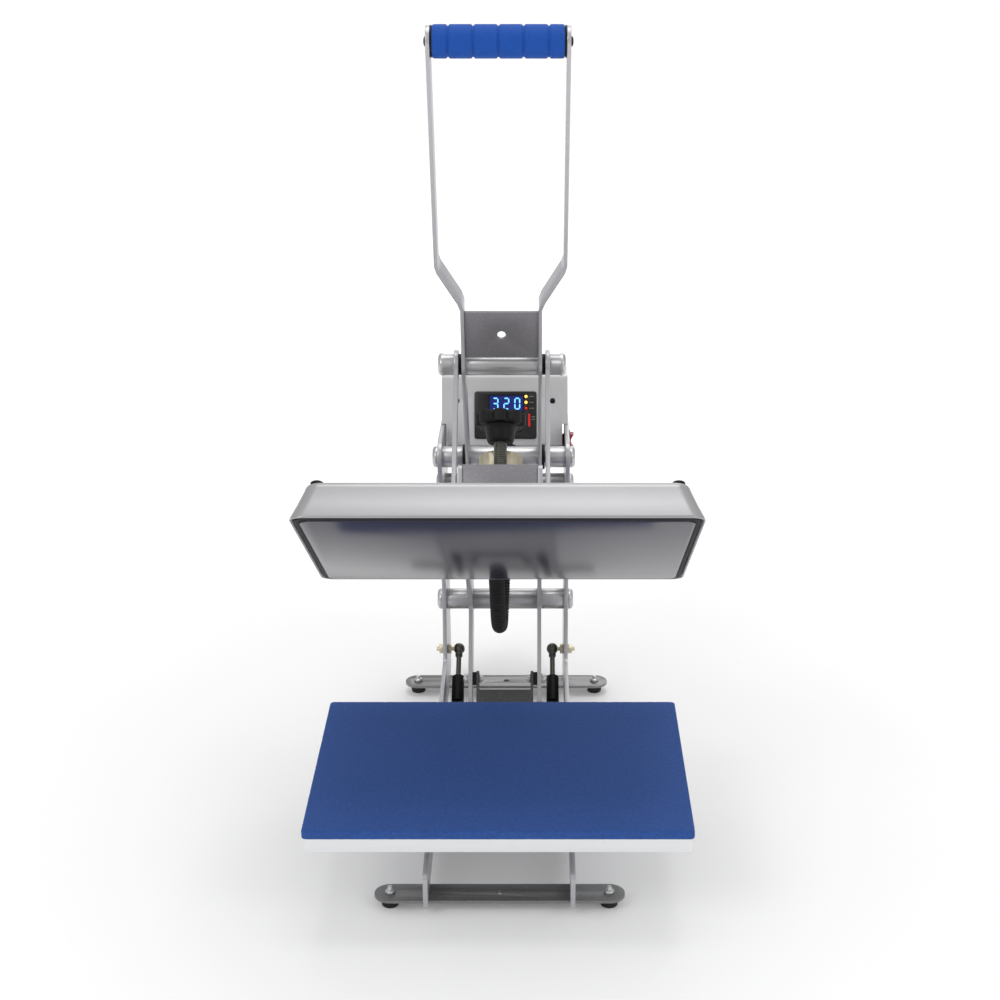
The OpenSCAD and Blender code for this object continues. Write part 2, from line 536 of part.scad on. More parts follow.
cord_n = len(cord_points);
cord_sides = 12;
function cord_at(i) = cord_x + cord_shift * (1 - cos(180 * i / (cord_n - 1))) / 2;
function tangent(i) = let (d = cord_points[min(i + 1, cord_n - 1)] - cord_points[max(i - 1, 0)]) d / norm(d);
module heater_conduit() color(black) polyhedron(
    points = [for (i = [0:cord_n - 1], k = [0:cord_sides - 1])
        let (t = tangent(i), a = k * 360 / cord_sides)
        [cord_at(i) + cord_r * cos(a), cord_points[i][0] - cord_r * sin(a) * t[1],
         cord_points[i][1] + cord_r * sin(a) * t[0]]],
    faces = concat(
        [for (i = [0:cord_n - 2], k = [0:cord_sides - 1]) let (m = (k + 1) % cord_sides)
            [i * cord_sides + k, i * cord_sides + m, (i + 1) * cord_sides + m, (i + 1) * cord_sides + k]],
        [[for (k = [cord_sides - 1:-1:0]) k]],
        [[for (k = [0:cord_sides - 1]) (cord_n - 1) * cord_sides + k]]));

side_plate_left();
side_plate_right();
foot_bars();
rubber_feet();
base_screws();
platen_supports();
platen_tray();
silicone_pad();
hinge_shaft();
pivot_shaft();
tie_rod();
spacer_tubes();
box_shell();
box_back_cover();
box_screws();
display_panel();
display_window();
display_digits();
status_leds();
power_inlet();
control_board();
strut_studs_upper();
arm_plate_left();
arm_plate_right();
arm_tube();
arm_channel();
guide_bush();
link_bosses();
tail_bracket();
tail_spacers();
tail_bolts();
strut_studs_lower();
heat_plate();
rim_seal();
insulation_blanket();
pressure_plate();
cover_shell();
cover_screws();
guide_stud();
cable_gland();
adjusting_knob();
adjusting_screw();
handle_bar_left();
handle_bar_right();
handle_cross_plate();
knee_tube();
crank_tube();
handle_washers();
grip_tube();
foam_grip();
grip_screws();
link_plates();
knee_shaft();
strut_rods();
strut_cylinders();
rocker_switch();
key_down();
key_set();
key_up();
heater_conduit();
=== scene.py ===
"""A clamshell heat press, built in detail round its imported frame."""
import json
import math

import bmesh
import bpy
from mathutils import Matrix, Vector, noise

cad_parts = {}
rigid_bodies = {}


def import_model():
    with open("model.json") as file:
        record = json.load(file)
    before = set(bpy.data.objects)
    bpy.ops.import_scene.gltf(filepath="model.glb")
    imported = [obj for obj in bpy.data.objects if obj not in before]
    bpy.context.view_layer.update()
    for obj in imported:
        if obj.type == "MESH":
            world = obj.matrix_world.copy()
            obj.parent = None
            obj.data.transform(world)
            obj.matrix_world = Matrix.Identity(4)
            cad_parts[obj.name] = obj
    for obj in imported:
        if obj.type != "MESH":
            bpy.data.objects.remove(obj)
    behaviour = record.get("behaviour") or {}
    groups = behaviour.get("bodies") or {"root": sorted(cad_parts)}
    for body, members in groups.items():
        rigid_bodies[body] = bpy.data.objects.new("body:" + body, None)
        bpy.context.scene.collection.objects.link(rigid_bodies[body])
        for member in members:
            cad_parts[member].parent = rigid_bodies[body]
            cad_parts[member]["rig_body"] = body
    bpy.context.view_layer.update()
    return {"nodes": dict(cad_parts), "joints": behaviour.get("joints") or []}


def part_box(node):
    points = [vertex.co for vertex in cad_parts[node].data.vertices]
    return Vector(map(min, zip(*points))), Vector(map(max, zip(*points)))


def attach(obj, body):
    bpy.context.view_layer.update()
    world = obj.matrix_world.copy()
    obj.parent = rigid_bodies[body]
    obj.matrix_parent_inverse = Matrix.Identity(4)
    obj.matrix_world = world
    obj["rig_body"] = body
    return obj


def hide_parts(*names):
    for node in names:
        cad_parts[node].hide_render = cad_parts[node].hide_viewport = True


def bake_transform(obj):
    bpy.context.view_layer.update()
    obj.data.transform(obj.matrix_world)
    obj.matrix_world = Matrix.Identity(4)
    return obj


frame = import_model()

bl_info = {
    "name": "Heat press",
    "version": (1, 0, 0),
    "blender": (4, 5, 0),
    "location": "3D View > Sidebar > Heat press",
    "description": "Builds a clamshell heat press round its frame",
    "category": "Object",
}

MM = 0.001
JOINTS = {joint["name"]: joint for joint in frame["joints"]}
HINGE = Vector(JOINTS["arm_hinge"]["pos_m"])
OPEN_ANGLE = math.radians(JOINTS["arm_hinge"]["range_deg"][1])
OPENED = Matrix.Translation(HINGE) @ Matrix.Rotation(-OPEN_ANGLE, 4, "X") @ Matrix.Translation(-HINGE)


# ------------------------------------------------------------------ shader maths

class Wire:
    """One shader socket that can be used in Python arithmetic."""

    def __init__(self, tree, socket):
        self.tree = tree
        self.socket = socket

    def _math(self, operation, first, second):
        node = self.tree.nodes.new("ShaderNodeMath")
        node.operation = operation
        feed(self.tree, node.inputs[0], first)
        feed(self.tree, node.inputs[1], second)
        return Wire(self.tree, node.outputs[0])

    def __add__(self, other):
        return self._math("ADD", self, other)

    def __radd__(self, other):
        return self._math("ADD", other, self)

    def __mul__(self, other):
        return self._math("MULTIPLY", self, other)

    def __rmul__(self, other):
        return self._math("MULTIPLY", other, self)


def feed(tree, socket, value):
    """Links a wire to a socket, or sets the socket's own value."""
    if isinstance(value, Wire):
        tree.links.new(value.socket, socket)
        return
    if socket.type == "RGBA" and len(value) == 3:
        value = (*value, 1.0)
    socket.default_value = value


class Finish:
    """A node material round one Principled shader."""

    def __init__(self, name):
        self.material = bpy.data.materials.new(name)
        self.material.use_nodes = True
        self.tree = self.material.node_tree
        self.shader = self.tree.nodes["Principled BSDF"]
        self.place = self.add("ShaderNodeTexCoord", out="Object")

    def add(self, kind, settings=None, inputs=None, out=0):
        node = self.tree.nodes.new(kind)
        for key, value in (settings or {}).items():
            setattr(node, key, value)
        for key, value in (inputs or {}).items():
            feed(self.tree, node.inputs[key], value)
        return Wire(self.tree, node.outputs[out])

    def stretched(self, scale):
        return self.add("ShaderNodeVectorMath", {"operation": "MULTIPLY"}, {0: self.place, 1: scale})

    def noise(self, scale, detail=2.0, rough=0.5, place=None):
        inputs = {"Vector": place or self.place, "Scale": scale, "Detail": detail, "Roughness": rough}
        return self.add("ShaderNodeTexNoise", None, inputs)

    def cells(self, scale, feature="F1", place=None):
        inputs = {"Vector": place or self.place, "Scale": scale}
        return self.add("ShaderNodeTexVoronoi", {"feature": feature}, inputs)

    def ramp(self, value, low, high):
        inputs = {"Value": value, "From Min": low, "From Max": high}
        return self.add("ShaderNodeMapRange", {"clamp": True}, inputs)

    def mix(self, factor, first, second):
        node = self.tree.nodes.new("ShaderNodeMix")
        node.data_type = "RGBA"
        feed(self.tree, node.inputs[0], factor)
        feed(self.tree, node.inputs[6], first)
        feed(self.tree, node.inputs[7], second)
        return Wire(self.tree, node.outputs[2])

    def bump(self, height, strength, distance):
        inputs = {"Height": height, "Strength": strength, "Distance": distance}
        feed(self.tree, self.shader.inputs["Normal"], self.add("ShaderNodeBump", None, inputs))

    def set(self, **values):
        for key, value in values.items():
            feed(self.tree, self.shader.inputs[key.replace("_", " ")], value)
        return self


def grey(value):
    return (value, value, value)


def tinted(colour, factor):
    return tuple(min(1.0, channel * factor) for channel in colour[:3])


FINISHES = {}


def finish(maker):
    """The material that maker makes, made once."""
    if maker.__name__ not in FINISHES:
        FINISHES[maker.__name__] = maker().material
    return FINISHES[maker.__name__]


def silver_coat():
    """Silver powder coat: fine metal flake, slight orange peel, faint handling marks."""
    f = Finish("silver_coat")
    base = tuple(bpy.context.scene.press_finish.silver)
    flake = f.cells(2600.0)
    cloud = f.noise(14.0, 4.0, 0.6)
    peel = f.noise(900.0, 2.0, 0.5)
    rub = f.ramp(f.noise(60.0, 8.0, 0.75), 0.62, 0.78)
    tone = f.mix(f.ramp(flake, 0.15, 0.75), tinted(base, 1.12), tinted(base, 0.9))
    tone = f.mix(cloud * 0.25, tone, tinted(base, 0.8))
    f.set(Base_Color=tone, Metallic=0.55, Roughness=0.3 + cloud * 0.14 + rub * 0.1)
    f.set(Coat_Weight=0.25, Coat_Roughness=0.25)
    f.bump(peel + flake * 0.6, 0.16, 0.0002)
    return f


def cover_coat():
    """The smoother, brighter silver paint of the upper platen's cover."""
    f = Finish("cover_coat")
    base = tuple(bpy.context.scene.press_finish.cover)
    flake = f.cells(3400.0)
    cloud = f.noise(9.0, 3.0, 0.55)
    tone = f.mix(f.ramp(flake, 0.1, 0.8), tinted(base, 1.05), tinted(base, 0.93))
    tone = f.mix(cloud * 0.2, tone, tinted(base, 0.86))
    f.set(Base_Color=tone, Metallic=0.5, Roughness=0.32 + cloud * 0.08)
    f.set(Coat_Weight=0.2, Coat_Roughness=0.2)
    f.bump(f.noise(700.0, 2.0, 0.5), 0.08, 0.0002)
    return f


def housing_coat():
    """Light silver paint of the controller's housing."""
    f = Finish("housing_coat")
    flake = f.cells(3000.0)
    cloud = f.noise(11.0, 3.0, 0.55)
    tone = f.mix(f.ramp(flake, 0.1, 0.8), grey(0.72), grey(0.66))
    f.set(Base_Color=f.mix(cloud * 0.2, tone, grey(0.6)), Metallic=0.35, Roughness=0.32 + cloud * 0.1)
    f.bump(f.noise(800.0, 2.0, 0.5), 0.08, 0.0002)
    return f


def hammered_coat():
    """Grey hammered paint: fine shallow dimples with darker floors."""
    f = Finish("hammered_coat")
    base = tuple(bpy.context.scene.press_finish.hammered)
    dimple = f.cells(760.0, "SMOOTH_F1")
    speck = f.noise(1100.0, 5.0, 0.65)
    tone = f.mix(f.ramp(dimple + speck * 0.3, 0.2, 1.0), tinted(base, 0.86), tinted(base, 1.14))
    f.set(Base_Color=tone, Metallic=0.55, Roughness=0.36 + speck * 0.12)
    f.bump(dimple + speck * 0.3, 0.22, 0.0003)
    return f


def dark_coat():
    """Dark grey textured paint of the brackets."""
    f = Finish("dark_coat")
    speck = f.noise(700.0, 5.0, 0.7)
    cloud = f.noise(25.0, 3.0, 0.6)
    tone = f.mix(f.ramp(speck, 0.35, 0.7), grey(0.055), grey(0.13))
    f.set(Base_Color=f.mix(cloud * 0.4, tone, grey(0.09)), Metallic=0.5, Roughness=0.36 + speck * 0.16)
    f.bump(speck, 0.3, 0.0003)
    return f


def steel_coat():
    """Satin paint of the foot bars, metallic enough to mirror what is over it, with a dark grey base that
    holds painted shade on the bars.
    """
    f = Finish("steel_coat")
    speck = f.noise(900.0, 4.0, 0.65)
    cloud = f.noise(18.0, 3.0, 0.6)
    # Painted shade: the bars' grey is kept dark for the shade that falls on them.
    tone = f.mix(f.ramp(speck, 0.3, 0.7), grey(0.2), grey(0.32))
    f.set(Base_Color=f.mix(cloud * 0.3, tone, grey(0.22)), Metallic=0.85, Roughness=0.3 + speck * 0.14)
    f.bump(speck, 0.15, 0.0002)
    return f


def turned_steel():
    """Satin grey rods and tubes: fine grain with faint draw lines along X."""
    f = Finish("turned_steel")
    grain = f.noise(1500.0, 3.0, 0.6)
    draw = f.noise(1.0, 3.0, 0.6, f.stretched((40.0, 1200.0, 1200.0)))
    cloud = f.noise(35.0, 3.0, 0.5)
    tone = f.mix(grain, grey(0.5), (0.68, 0.675, 0.69))
    f.set(Base_Color=f.mix(cloud * 0.3, tone, grey(0.4)), Metallic=0.8, Roughness=0.26 + draw * 0.14)
    f.bump(grain + draw, 0.1, 0.0002)
    return f


def zinc_plate():
    """Clear zinc plating on screws and rods."""
    f = Finish("zinc_plate")
    cloud = f.noise(220.0, 4.0, 0.6)
    tone = f.mix(cloud, (0.5, 0.51, 0.52), (0.72, 0.73, 0.72))
    f.set(Base_Color=tone, Metallic=0.9, Roughness=0.26 + cloud * 0.16)
    f.bump(f.noise(1500.0, 2.0, 0.5), 0.1, 0.0001)
    return f


def oiled_steel():
    """Dark oiled steel of the pressure screw."""
    f = Finish("oiled_steel")
    film = f.noise(180.0, 4.0, 0.6)
    tone = f.mix(film, (0.09, 0.09, 0.075), (0.2, 0.2, 0.175))
    f.set(Base_Color=tone, Metallic=0.85, Roughness=0.28 + film * 0.15)
    f.bump(f.noise(1300.0, 2.0, 0.5), 0.08, 0.0001)
    return f


def yellow_zinc():
    """Yellow passivated zinc, patchy from cream to straw."""
    f = Finish("yellow_zinc")
    cloud = f.noise(160.0, 4.0, 0.6)
    streak = f.noise(1.0, 3.0, 0.6, f.stretched((300.0, 300.0, 900.0)))
    tone = f.mix(f.ramp(cloud, 0.3, 0.7), (0.62, 0.55, 0.38), (0.82, 0.77, 0.62))
    tone = f.mix(streak * 0.3, tone, (0.55, 0.45, 0.28))
    f.set(Base_Color=tone, Metallic=0.7, Roughness=0.28 + cloud * 0.12)
    f.bump(streak, 0.1, 0.0001)
    return f


def milled_aluminium():
    """Milled edge of the lower platen: fine lines along its length and a few scuffs."""
    f = Finish("milled_aluminium")
    line = f.noise(1.0, 4.0, 0.6, f.stretched((14.0, 14.0, 1800.0)))
    scuff = f.ramp(f.noise(90.0, 8.0, 0.75), 0.6, 0.74)
    tone = f.mix(line, (0.74, 0.75, 0.77), (0.88, 0.89, 0.9))
    f.set(Base_Color=f.mix(scuff * 0.5, tone, (0.6, 0.6, 0.62)), Metallic=0.6, Roughness=0.3 + line * 0.16)
    f.bump(line + scuff, 0.15, 0.0002)
    return f


def heated_coat():
    """The heated plate's smooth grey coating with faint draw lines; its dark bluish base also holds a painted
    reflection of the machine's dark parts.
    """
    f = Finish("heated_coat")
    # Painted reflection: the heated colour is kept dark and bluish for the dark parts and blue pad the plate
    # reflects, as well as its coating.
    base = tuple(bpy.context.scene.press_finish.heated)
    cloud = f.noise(7.0, 4.0, 0.55)
    line = f.noise(1.0, 3.0, 0.5, f.stretched((500.0, 12.0, 12.0)))
    tone = f.mix(cloud, tinted(base, 0.93), tinted(base, 1.08))
    tone = f.mix(line * 0.12, tone, tinted(base, 0.85))
    f.set(Base_Color=tone, Metallic=0.2, Roughness=0.16 + cloud * 0.03, Specular_IOR_Level=0.4)
    f.bump(line, 0.05, 0.0001)
    return f


def blue_silicone():
    """Blue silicone sponge: fine open pores, mottled, matte."""
    f = Finish("blue_silicone")
    base = tuple(bpy.context.scene.press_finish.pad)
    pore = f.cells(620.0)
    fleck = f.noise(260.0, 6.0, 0.75)
    cloud = f.noise(12.0, 4.0, 0.6)
    tone = f.mix(f.ramp(fleck, 0.35, 0.72), tinted(base, 0.78), tinted(base, 1.25))
    tone = f.mix(f.ramp(pore, 0.0, 0.28), tinted(base, 0.62), tone)
    tone = f.mix(cloud * 0.3, tone, tinted(base, 1.15))
    f.set(Base_Color=tone, Roughness=0.72 + fleck * 0.2, Specular_IOR_Level=0.3)
    f.set(Sheen_Weight=0.15, Sheen_Roughness=0.5, Sheen_Tint=(0.5, 0.65, 1.0, 1.0))
    f.bump(pore + fleck, 0.55, 0.0006)
    return f


def blue_foam():
    """Blue foam rubber of the grip: fine skin with small cells."""
    f = Finish("blue_foam")
    base = tuple(bpy.context.scene.press_finish.foam)
    cell = f.cells(900.0)
    fleck = f.noise(420.0, 5.0, 0.7)
    tone = f.mix(f.ramp(fleck, 0.3, 0.75), tinted(base, 0.82), tinted(base, 1.18))
    f.set(Base_Color=f.mix(f.ramp(cell, 0.0, 0.3), tinted(base, 0.7), tone), Roughness=0.6 + fleck * 0.25)
    f.set(Specular_IOR_Level=0.35, Sheen_Weight=0.2, Sheen_Roughness=0.4, Sheen_Tint=(0.5, 0.7, 1.0, 1.0))
    f.bump(cell + fleck, 0.4, 0.0004)
    return f


def black_plastic():
    """Moulded black plastic with a fine spark-eroded grain."""
    f = Finish("black_plastic")
    grain = f.noise(1400.0, 3.0, 0.6)
    wear = f.ramp(f.noise(120.0, 6.0, 0.7), 0.55, 0.8)
    f.set(Base_Color=f.mix(wear * 0.5, grey(0.004), grey(0.012)), Roughness=0.42 + grain * 0.2)
    f.set(Specular_IOR_Level=0.28)
    f.bump(grain, 0.25, 0.0002)
    return f


def black_rubber():
    """Black rubber, dull, slightly dusty."""
    f = Finish("black_rubber")
    dust = f.noise(300.0, 6.0, 0.7)
    f.set(Base_Color=f.mix(f.ramp(dust, 0.4, 0.8), grey(0.006), grey(0.02)), Roughness=0.6 + dust * 0.25)
    f.bump(dust, 0.3, 0.0003)
    return f


def panel_film():
    """The controller's black film panel: satin with a faint print grain."""
    f = Finish("panel_film")
    grain = f.noise(2200.0, 2.0, 0.5)
    smear = f.noise(30.0, 4.0, 0.6)
    f.set(Base_Color=f.mix(smear, grey(0.008), grey(0.016)), Roughness=0.22 + smear * 0.15 + grain * 0.06)
    f.bump(grain, 0.08, 0.0001)
    return f


def lit(name, colour, body, strength):
    """A translucent lit plastic."""
    f = Finish(name)
    cloud = f.noise(900.0, 2.0, 0.5)
    f.set(Base_Color=f.mix(cloud, tinted(body, 0.9), tinted(body, 1.1)), Roughness=0.25 + cloud * 0.1)
    f.set(Emission_Color=f.mix(cloud, tinted(colour, 0.92), colour), Emission_Strength=strength)
    return f


def lit_digit():
    return lit("lit_digit", (0.08, 0.42, 1.0), (0.3, 0.6, 1.0), 1.5)


def lit_window():
    return lit("lit_window", (0.0, 0.008, 0.12), (0.004, 0.01, 0.08), 0.8)


def lit_amber():
    return lit("lit_amber", (1.0, 0.5, 0.06), (1.0, 0.6, 0.15), 2.2)


def lit_red():
    return lit("lit_red", (1.0, 0.02, 0.015), (0.4, 0.01, 0.01), 0.45)


def red_plastic():
    """Red rocker plastic with moulding haze."""
    f = Finish("red_plastic")
    haze = f.noise(90.0, 4.0, 0.6)
    f.set(Base_Color=f.mix(haze, (0.3, 0.012, 0.016), (0.45, 0.02, 0.025)), Roughness=0.22 + haze * 0.15)
    f.bump(f.noise(900.0, 2.0, 0.5), 0.08, 0.0001)
    return f


def pale_mark():
    """Pale printed marks and pins."""
    f = Finish("pale_mark")
    wear = f.noise(700.0, 4.0, 0.6)
    f.set(Base_Color=f.mix(wear, grey(0.16), grey(0.26)), Roughness=0.5 + wear * 0.1)
    return f


def glass_cloth():
    """Woven glass-fibre insulation."""
    f = Finish("glass_cloth")
    warp = f.add("ShaderNodeTexWave", {"bands_direction": "X"}, {"Vector": f.place, "Scale": 150.0})
    weft = f.add("ShaderNodeTexWave", {"bands_direction": "Y"}, {"Vector": f.place, "Scale": 150.0})
    f.set(Base_Color=f.mix(warp * weft, (0.6, 0.55, 0.4), (0.85, 0.82, 0.68)), Roughness=0.8 + warp * 0.1)
    f.bump(warp * weft, 0.5, 0.0005)
    return f


def solder_mask():
    """Green circuit board with lighter tracks."""
    f = Finish("solder_mask")
    track = f.ramp(f.cells(240.0, "DISTANCE_TO_EDGE"), 0.02, 0.06)
    f.set(Base_Color=f.mix(track, (0.06, 0.3, 0.12), (0.01, 0.12, 0.05)), Roughness=0.3 + track * 0.1)
    f.bump(track, 0.1, 0.0001)
    return f


def studio_white():
    """Seamless white floor whose glow holds a painted shadow: dimmer close to the press and evenly bright far
    from it.
    """
    f = Finish("studio_white")
    cloud = f.noise(0.4, 2.0, 0.5)
    distance = f.add("ShaderNodeVectorMath", {"operation": "LENGTH"}, {0: f.place}, "Value")
    # Painted shadow: the floor's glow drops to about a fifth close to the press and is full from 2.2 m out.
    glow_with_painted_shadow = f.mix(f.ramp(distance, 0.25, 2.2), grey(0.22), grey(1.0))
    f.set(Base_Color=f.mix(cloud, grey(0.84), grey(0.87)), Roughness=0.6 + cloud * 0.1)
    f.set(Specular_IOR_Level=0.15, Emission_Color=glow_with_painted_shadow, Emission_Strength=0.52)
    return f


# ------------------------------------------------------------------ meshes

def piece(name, mesh, maker, body, replaced=(), smooth_angle=35.0):
    """Puts a mesh in the scene as a finished piece that rides on a body."""
    mesh.materials.clear()
    mesh.materials.append(finish(maker))
    mesh.shade_smooth()
    mesh.set_sharp_from_angle(angle=math.radians(smooth_angle))
    thing = bpy.data.objects.new(name, mesh)
    bpy.context.scene.collection.objects.link(thing)
    if replaced:
        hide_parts(*replaced)
    if body:
        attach(thing, body)
    return thing


def made(name, build):
    """A mesh that build() draws into a bmesh."""
    bm = bmesh.new()
    build(bm)
    bmesh.ops.remove_doubles(bm, verts=bm.verts, dist=1e-6)
    bmesh.ops.recalc_face_normals(bm, faces=bm.faces)
    mesh = bpy.data.meshes.new(name)
    bm.to_mesh(mesh)
    bm.free()
    return mesh


def loft(bm, rings, ends=True):
    """Skins closed rings of equal counts of points and closes both ends."""
    rows = [[bm.verts.new(point) for point in ring] for ring in rings]
    count = len(rows[0])
    for low, high in zip(rows, rows[1:]):
        for i in range(count):
            j = (i + 1) % count
            bm.faces.new((low[i], low[j], high[j], high[i]))
    if ends:
        bm.faces.new(list(reversed(rows[0])))
        bm.faces.new(rows[-1])


def turns(count):
    """Angles of count even steps round a circle."""
    return [math.tau * k / count for k in range(count)]


def turned(bm, profile, origin, axis, across, sides=48):
    """Turns (radius, distance) pairs round an axis that starts at origin."""
    axis = Vector(axis).normalized()
    first = Vector(across).normalized()
    second = axis.cross(first)
    rings = []
    for radius, along in profile:
        centre = origin + axis * along
        radius = max(radius, 1e-5)
        rings.append([centre + first * (radius * math.cos(angle)) + second * (radius * math.sin(angle))
                      for angle in turns(sides)])
    loft(bm, rings)


def rounded_loop(width, depth, radius, centre, z, steps=10):
    """A rounded rectangle, level at z, round centre."""
    loop = []
    for quarter, (sx, sy) in enumerate(((1, 1), (-1, 1), (-1, -1), (1, -1))):
        for i in range(steps + 1):
            angle = math.radians(90 * quarter + 90 * i / steps)
            x = centre[0] + sx * (width / 2 - radius) + radius * math.cos(angle)
            y = centre[1] + sy * (depth / 2 - radius) + radius * math.sin(angle)
            loop.append(Vector((x, y, z)))
    return loop


def softened(node, maker, width=0.45, segments=2, angle=38.0):
    """A CAD node's own shape with its sharp edges broken, which stands for the node."""
    source = frame["nodes"][node]
    bm = bmesh.new()
    bm.from_mesh(source.data)
    bmesh.ops.remove_doubles(bm, verts=bm.verts, dist=2e-6)
    bmesh.ops.dissolve_limit(
        bm, angle_limit=math.radians(0.4), verts=bm.verts, edges=bm.edges, delimit={"NORMAL"})
    edges = [e for e in bm.edges if e.is_manifold and e.calc_face_angle(0.0) > math.radians(angle)]
    bmesh.ops.bevel(
        bm, geom=edges, offset=width * MM, segments=segments, profile=0.5, affect="EDGES", clamp_overlap=True)
    mesh = bpy.data.meshes.new(node + "_finished")
    bm.to_mesh(mesh)
    bm.free()
    return piece(node + "_finished", mesh, maker, source["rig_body"], (node,), 30.0)


def painted(node, maker):
    """A CAD node that keeps its mesh and gets its finish."""
    thing = frame["nodes"][node]
    thing.data.materials.clear()
    thing.data.materials.append(finish(maker))
    thing.data.shade_smooth()
    thing.data.set_sharp_from_angle(angle=math.radians(30))


def middle(node):
    low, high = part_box(node)
    return (low + high) / 2


# ------------------------------------------------------------------ settings

class PressFinish(bpy.types.PropertyGroup):
    """Colours of the press."""

    silver: bpy.props.FloatVectorProperty(
        name="Silver", description="Powder coat of the frame", subtype="COLOR",
        default=(0.52, 0.515, 0.54))
    cover: bpy.props.FloatVectorProperty(
        name="Cover", description="Paint of the platen cover and controller", subtype="COLOR",
        default=(0.42, 0.415, 0.425))
    hammered: bpy.props.FloatVectorProperty(
        name="Hammered", description="Hammered paint of the cross plate and arm front", subtype="COLOR",
        default=(0.27, 0.262, 0.28))
    # Heated is the coating's colour darkened by a painted reflection of the machine's dark parts.
    heated: bpy.props.FloatVectorProperty(
        name="Heated", description="Coating of the heated plate", subtype="COLOR",
        default=(0.05, 0.047, 0.064))
    pad: bpy.props.FloatVectorProperty(
        name="Pad", description="Silicone pad", subtype="COLOR", default=(0.026, 0.085, 0.32))
    foam: bpy.props.FloatVectorProperty(
        name="Foam", description="Foam grip", subtype="COLOR", default=(0.003, 0.075, 0.4))


class PressSizes(bpy.types.PropertyGroup):
    """Sizes of details that the frame doesn't give."""

    edge_break: bpy.props.FloatProperty(
        name="Edge break", description="How far plate edges are rounded", default=0.0005, unit="LENGTH")
    groove_pitch: bpy.props.FloatProperty(
        name="Groove pitch", description="Distance between the grip's grooves", default=0.0247, unit="LENGTH")
    groove_depth: bpy.props.FloatProperty(
        name="Groove depth", description="Depth of the grip's grooves", default=0.0016, unit="LENGTH")
    rib_pitch: bpy.props.FloatProperty(
        name="Rib pitch", description="Distance between the conduit's ribs", default=0.0034, unit="LENGTH")
    thread_pitch: bpy.props.FloatProperty(
        name="Thread pitch", description="Lead of the pressure screw", default=0.002, unit="LENGTH")
    cover_round: bpy.props.FloatProperty(
        name="Cover rounding", description="Radius of the cover's top edge", default=0.007, unit="LENGTH")


# ------------------------------------------------------------------ pieces

class PRESS_OT_base_frame(bpy.types.Operator):
    """Side plates, foot bars, platen supports, feet and their screws"""

    bl_idname = "press.base_frame"
    bl_label = "Base frame"

    def execute(self, context):
        edge = context.scene.press_sizes.edge_break / MM
        for node in ("side_plate_left", "side_plate_right"):
            softened(node, silver_coat, edge)
        softened("foot_bars", steel_coat, edge)
        softened("platen_supports", dark_coat, edge)
        softened("rubber_feet", black_rubber, 0.3)
        softened("base_screws", zinc_plate, 0.2)
        piece("foot_stud_ends", made("foot_stud_ends", self.studs), zinc_plate, "base")
        return {"FINISHED"}

    def studs(self, bm):
        """Threaded ends standing above the foot screws."""
        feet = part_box("rubber_feet")
        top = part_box("foot_bars")[1].z
        inset = 9.6 * MM
        for x in (feet[0].x + inset, feet[1].x - inset):
            for y in (feet[0].y + inset, feet[1].y - inset):
                rows = [(2.7, 3.3)]
                for i in range(4):
                    rows += [(2.7, 3.6 + i * 0.9), (2.35, 4.0 + i * 0.9)]
                rows += [(2.0, 7.4), (0.0, 7.5)]
                turned(bm, [(r * MM, h * MM) for r, h in rows], Vector((x, y, top)), (0, 0, 1), (1, 0, 0), 24)


class PRESS_OT_lower_platen(bpy.types.Operator):
    """Aluminium lower platen and its silicone pad"""

    bl_idname = "press.lower_platen"
    bl_label = "Lower platen"

    def execute(self, context):
        softened("platen_tray", milled_aluminium, 1.4, 3)
        pad = piece("pad_silicone", made("pad_silicone", self.pad), blue_silicone, "base",
                    ("silicone_pad",), 50.0)
        return {"FINISHED"}

    def pad(self, bm):
        """A sponge sheet with a slightly ragged cut edge."""
        low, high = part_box("silicone_pad")
        size = high - low
        centre = (low + high) / 2
        step = 2.2 * MM
        counts = (round(size.y / step), round(size.x / step))
        rows = []
        for inset, height in ((0.6, 0.0), (0.2, 0.5), (0.0, 2.0), (0.1, 4.5), (0.0, 7.0), (0.25, 8.2),
                              (0.75, 8.8), (1.6, 9.0), (4.0, 9.0)):
            loop = self.loop(size.x - 2 * inset * MM, size.y - 2 * inset * MM, 4 * MM, centre, counts)
            ring = []
            for x, y, nx, ny in loop:
                ragged = noise.noise(Vector((x * 260, y * 260, height * 0.55))) * 0.3 * MM
                ragged = min(0.0, ragged) if inset < 1.5 else ragged * 0.2
                lift = noise.noise(Vector((x * 180, y * 180, 7.0))) * 0.12 * MM if inset > 0.7 else 0.0
                z = min(low.z + height * MM + lift, high.z)
                ring.append(Vector((x + nx * ragged, y + ny * ragged, z)))
            rows.append(ring)
        loft(bm, rows)

    def loop(self, width, depth, radius, centre, counts):
        """Evenly spaced points round a rounded rectangle, each with its outward direction."""
        points = []
        for turn in range(4):
            angle = math.pi / 2 * turn
            out = Vector((math.cos(angle), math.sin(angle)))
            along = Vector((-out.y, out.x))
            reach, run = (width / 2, depth / 2 - radius) if turn % 2 == 0 else (depth / 2, width / 2 - radius)
            count = counts[turn % 2]
            for i in range(count):
                p = out * reach + along * (-run + 2 * run * i / count)
                points.append((centre.x + p.x, centre.y + p.y, out.x, out.y))
            corner = out * (reach - radius) + along * run
            for i in range(6):
                way = angle + math.pi / 2 * i / 6
                n = Vector((math.cos(way), math.sin(way)))
                p = corner + n * radius
                points.append((centre.x + p.x, centre.y + p.y, n.x, n.y))
        return points


class PRESS_OT_pivots(bpy.types.Operator):
    """Pivot shafts, domed caps and the tubes round them"""

    bl_idname = "press.pivots"
    bl_label = "Pivots"

    def execute(self, context):
        for node in ("hinge_shaft", "pivot_shaft", "tie_rod", "spacer_tubes", "arm_tube", "knee_tube",
                     "crank_tube", "knee_shaft"):
            softened(node, turned_steel, 0.35)
        softened("handle_washers", black_plastic, 0.3)
        return {"FINISHED"}


